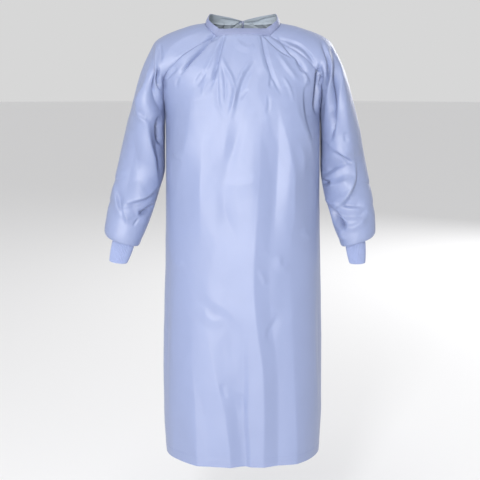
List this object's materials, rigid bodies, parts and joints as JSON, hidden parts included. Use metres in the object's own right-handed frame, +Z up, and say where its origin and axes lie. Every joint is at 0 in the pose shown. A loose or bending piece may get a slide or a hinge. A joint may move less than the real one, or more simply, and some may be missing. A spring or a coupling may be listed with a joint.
{
  "type": "surgical gown",
  "caption": "Long-sleeved surgical gown in its worn form, with raglan sleeves, a neck band, ribbed knit cuffs and a lapped back closed by ties at the neck and waist.",
  "frame": {"origin": "the middle of the neck opening, level with the neck seam at the sides, where the wearer's shoulders hold the gown up", "axes": "+Z up; -Y towards the front of the gown; +X towards the wearer's left"},
  "size_m": [0.7925, 0.329, 1.2938],
  "materials": {
    "gown_cloth": "crisp woven polyester with a slight sheen",
    "band_cloth": "the same woven polyester, doubled",
    "cuff_knit": "matte ribbed knit",
    "tie_cloth": "the same woven polyester, folded narrow"
  },
  "bodies": {
    "root": {"front_panel": "gown_cloth", "back_panel_left": "gown_cloth", "back_panel_right": "gown_cloth", "sleeve_left": "gown_cloth", "sleeve_right": "gown_cloth", "neck_band": "band_cloth", "cuff_left": "cuff_knit", "cuff_right": "cuff_knit", "neck_tie_left": "tie_cloth", "neck_tie_right": "tie_cloth", "neck_knot": "tie_cloth", "waist_tie_left": "tie_cloth", "waist_tie_right": "tie_cloth", "waist_knot": "tie_cloth"}
  },
  "joints": []
}
